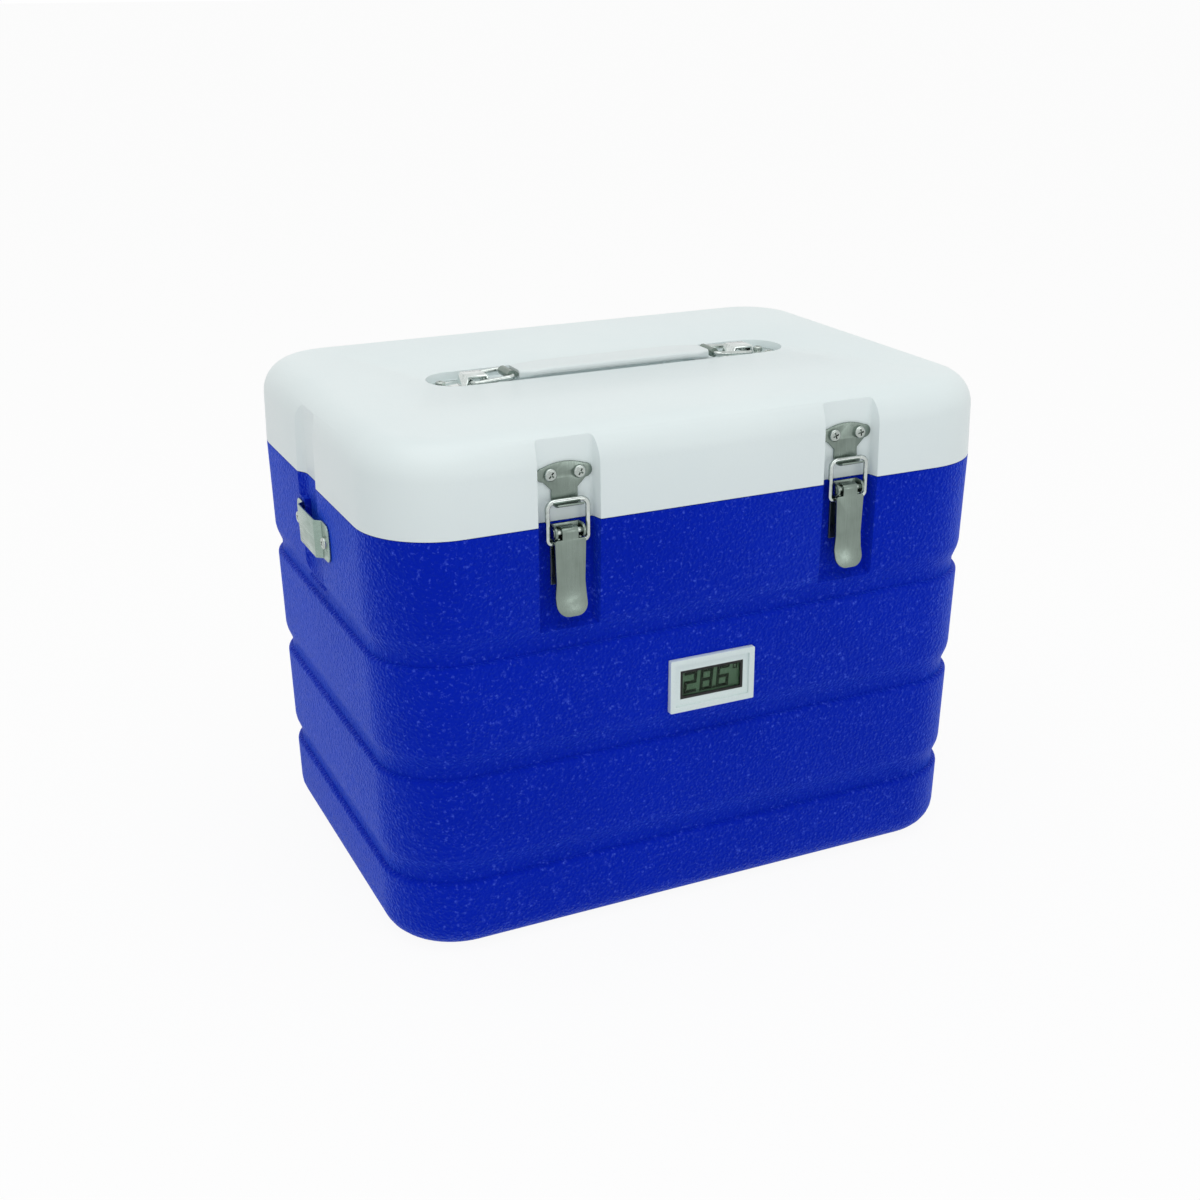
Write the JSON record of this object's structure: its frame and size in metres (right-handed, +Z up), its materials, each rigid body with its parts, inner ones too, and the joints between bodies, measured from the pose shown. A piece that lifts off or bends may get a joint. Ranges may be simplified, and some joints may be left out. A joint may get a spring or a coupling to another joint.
{
  "type": "vaccine carrier",
  "caption": "Insulated vaccine carrier: blue grooved body, white hinged lid with a lift-up handle, toggle latches, strap bridges and a panel thermometer.",
  "frame": {"origin": "centre of the flat base, on the surface that the carrier stands on", "axes": "+X along the carrier's length to its right-hand end, +Y to the hinged rear, +Z up; the latches and thermometer face -Y"},
  "size_m": [0.3482, 0.2519, 0.2688],
  "materials": {
    "blue_shell": "satin",
    "white_shell": "satin",
    "white_liner": "satin",
    "insulation": "matte",
    "stainless": "satin",
    "screw_steel": "polished",
    "white_grip": "matte",
    "bezel_white": "gloss",
    "clear_window": "gloss",
    "lcd_panel": "satin",
    "dark_case": "matte",
    "circuit_board": "satin",
    "battery_steel": "gloss",
    "cable_black": "matte",
    "seal_rubber": "matte"
  },
  "bodies": {
    "carrier_body": {"body_shell": "blue_shell", "body_foam": "insulation", "body_liner": "white_liner", "meter_bezel": "bezel_white", "meter_window": "clear_window", "meter_panel": "lcd_panel", "meter_case": "dark_case", "meter_board": "circuit_board", "meter_cells": "battery_steel", "probe_lead": "cable_black", "meter_probe": "stainless", "latch_base_screws": "screw_steel", "hinge_body_screws": "screw_steel", "strap_screws": "screw_steel", "latch_base_left": "stainless", "latch_base_right": "stainless", "latch_pivot_pin_left": "screw_steel", "latch_pivot_pin_right": "screw_steel", "hinge_body_leaf_left": "stainless", "hinge_body_leaf_right": "stainless", "hinge_pin_left": "screw_steel", "hinge_pin_right": "screw_steel", "strap_bridge_left": "stainless", "strap_bridge_right": "stainless"},
    "lid": {"lid_shell": "white_shell", "lid_foam": "insulation", "lid_liner": "white_liner", "lid_gasket": "seal_rubber", "keeper_screws": "screw_steel", "hinge_lid_screws": "screw_steel", "handle_screws": "screw_steel", "latch_keeper_left": "stainless", "latch_keeper_right": "stainless", "hinge_lid_leaf_left": "stainless", "hinge_lid_leaf_right": "stainless", "handle_bracket_left": "stainless", "handle_bracket_right": "stainless"},
    "handle": {"handle_grip": "white_grip", "handle_strip": "stainless"},
    "ring_left": {"handle_ring_left": "stainless"},
    "lever_left": {"latch_lever_left": "stainless"},
    "sleeve_left": {"latch_sleeve_left": "stainless"},
    "bail_left": {"latch_bail_left": "stainless"},
    "ring_right": {"handle_ring_right": "stainless"},
    "lever_right": {"latch_lever_right": "stainless"},
    "sleeve_right": {"latch_sleeve_right": "stainless"},
    "bail_right": {"latch_bail_right": "stainless"}
  },
  "joints": [
    {"name": "lid_hinge", "type": "hinge", "parent": "carrier_body", "child": "lid", "pos_m": [0, 0.12145, 0.2212], "axis": [-1, 0, 0], "range_deg": [0, 110]},
    {"name": "handle_lift", "type": "slide", "parent": "lid", "child": "handle", "axis": [0, 0, 1], "range_m": [0, 0.014]},
    {"name": "ring_left_tilt", "type": "hinge", "parent": "handle", "child": "ring_left", "pos_m": [-0.06, 0, 0.26599], "axis": [0, -1, 0], "range_deg": [0, 41]},
    {"name": "ring_right_tilt", "type": "hinge", "parent": "handle", "child": "ring_right", "pos_m": [0.06, 0, 0.26599], "axis": [0, 1, 0], "range_deg": [0, 41]},
    {"name": "lever_left_open", "type": "hinge", "parent": "carrier_body", "child": "lever_left", "pos_m": [-0.0775, -0.1173, 0.217], "axis": [-1, 0, 0], "range_deg": [0, 150]},
    {"name": "sleeve_left_turn", "type": "hinge", "parent": "lever_left", "child": "sleeve_left", "pos_m": [-0.0775, -0.11685, 0.21182], "axis": [-1, 0, 0], "range_deg": [-150, 0]},
    {"name": "bail_left_swing", "type": "hinge", "parent": "sleeve_left", "child": "bail_left", "pos_m": [-0.0775, -0.11685, 0.21182], "axis": [1, 0, 0], "range_deg": [0, 104]},
    {"name": "lever_right_open", "type": "hinge", "parent": "carrier_body", "child": "lever_right", "pos_m": [0.0775, -0.1173, 0.217], "axis": [-1, 0, 0], "range_deg": [0, 150]},
    {"name": "sleeve_right_turn", "type": "hinge", "parent": "lever_right", "child": "sleeve_right", "pos_m": [0.0775, -0.11685, 0.21182], "axis": [-1, 0, 0], "range_deg": [-150, 0]},
    {"name": "bail_right_swing", "type": "hinge", "parent": "sleeve_right", "child": "bail_right", "pos_m": [0.0775, -0.11685, 0.21182], "axis": [1, 0, 0], "range_deg": [0, 104]}
  ],
  "couplings": [
    {"joint": "ring_left_tilt", "follows": "handle_lift", "rad_per_m": 51.033},
    {"joint": "ring_right_tilt", "follows": "handle_lift", "rad_per_m": 51.033},
    {"joint": "sleeve_left_turn", "follows": "lever_left_open", "ratio": -1},
    {"joint": "sleeve_right_turn", "follows": "lever_right_open", "ratio": -1}
  ]
}
